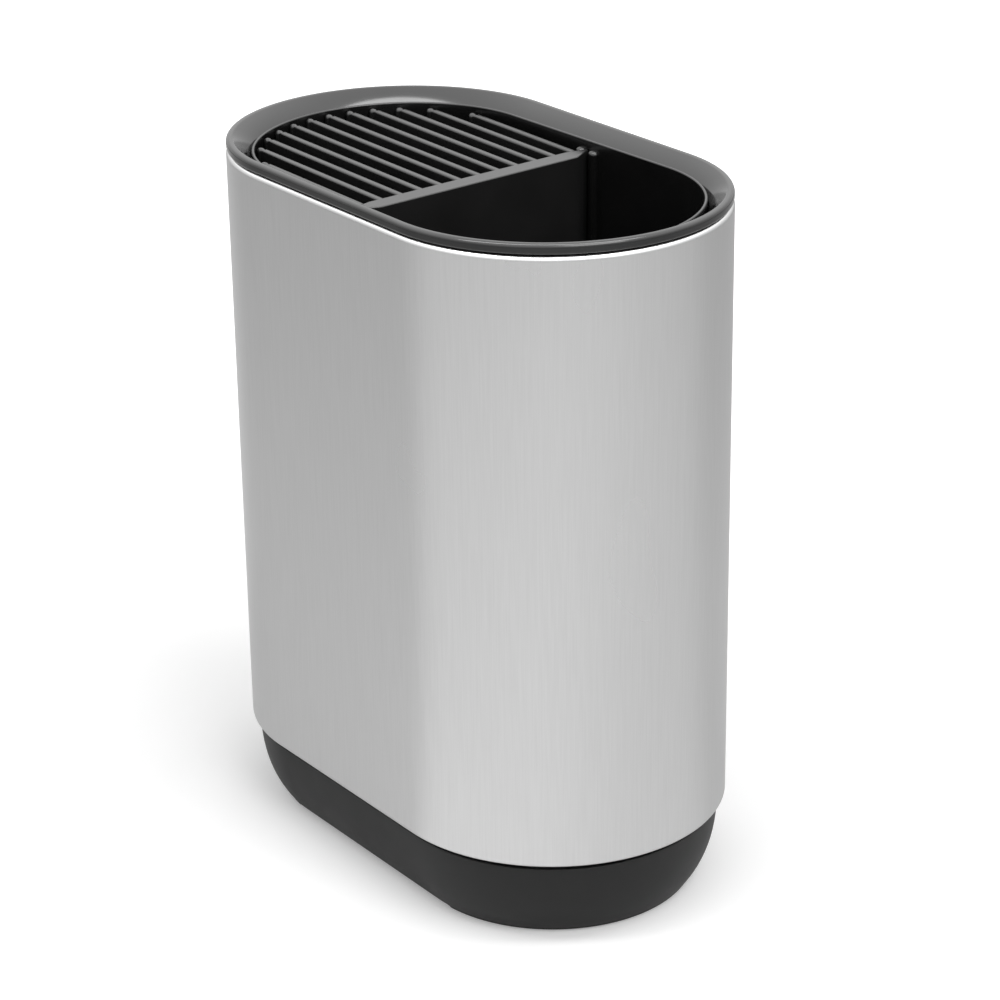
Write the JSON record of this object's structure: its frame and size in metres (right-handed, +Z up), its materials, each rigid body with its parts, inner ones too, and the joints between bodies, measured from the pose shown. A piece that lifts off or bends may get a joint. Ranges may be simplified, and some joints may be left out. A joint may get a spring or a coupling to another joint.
{
  "type": "utensil holder",
  "caption": "Free-standing oval holder with a brushed steel sleeve, a slatted knife rack at one end and an open utensil bin at the other, both lifting out.",
  "frame": {"origin": "on the floor, under the middle of the holder's overall box", "axes": "+Z up, the longest extent; X along the long side, with the knife slats at -X and the open bin at +X; Y from front to back, the shortest extent"},
  "size_m": [0.1924, 0.114, 0.2352],
  "materials": {
    "brushed_steel": "fine vertical brushing, satin",
    "rim_plastic": "polished black moulding",
    "base_plastic": "fine matte spark texture, charcoal",
    "foot_rubber": "matte non-slip rubber",
    "liner_plastic": "semi-gloss black moulding",
    "rack_plastic": "satin black moulding"
  },
  "bodies": {
    "holder": {"steel_shell": "brushed_steel", "top_rim": "rim_plastic", "base": "base_plastic", "foot_pad_knife_end": "foot_rubber", "foot_pad_utensil_end": "foot_rubber"},
    "utensil_bin": {"utensil_liner": "liner_plastic"},
    "knife_rack": {"rack_divider": "rack_plastic", "rack_slat_01": "rack_plastic", "rack_slat_02": "rack_plastic", "rack_slat_03": "rack_plastic", "rack_slat_04": "rack_plastic", "rack_slat_05": "rack_plastic", "rack_slat_06": "rack_plastic", "rack_slat_07": "rack_plastic", "rack_slat_08": "rack_plastic", "rack_slat_09": "rack_plastic", "rack_slat_10": "rack_plastic", "rack_slat_11": "rack_plastic", "rack_slat_12": "rack_plastic"}
  },
  "joints": [
    {"name": "bin_lift", "type": "slide", "parent": "holder", "child": "utensil_bin", "axis": [0, 0, 1], "range_m": [0, 0.236]},
    {"name": "rack_lift", "type": "slide", "parent": "utensil_bin", "child": "knife_rack", "axis": [0, 0, 1], "range_m": [0, 0.235]}
  ]
}
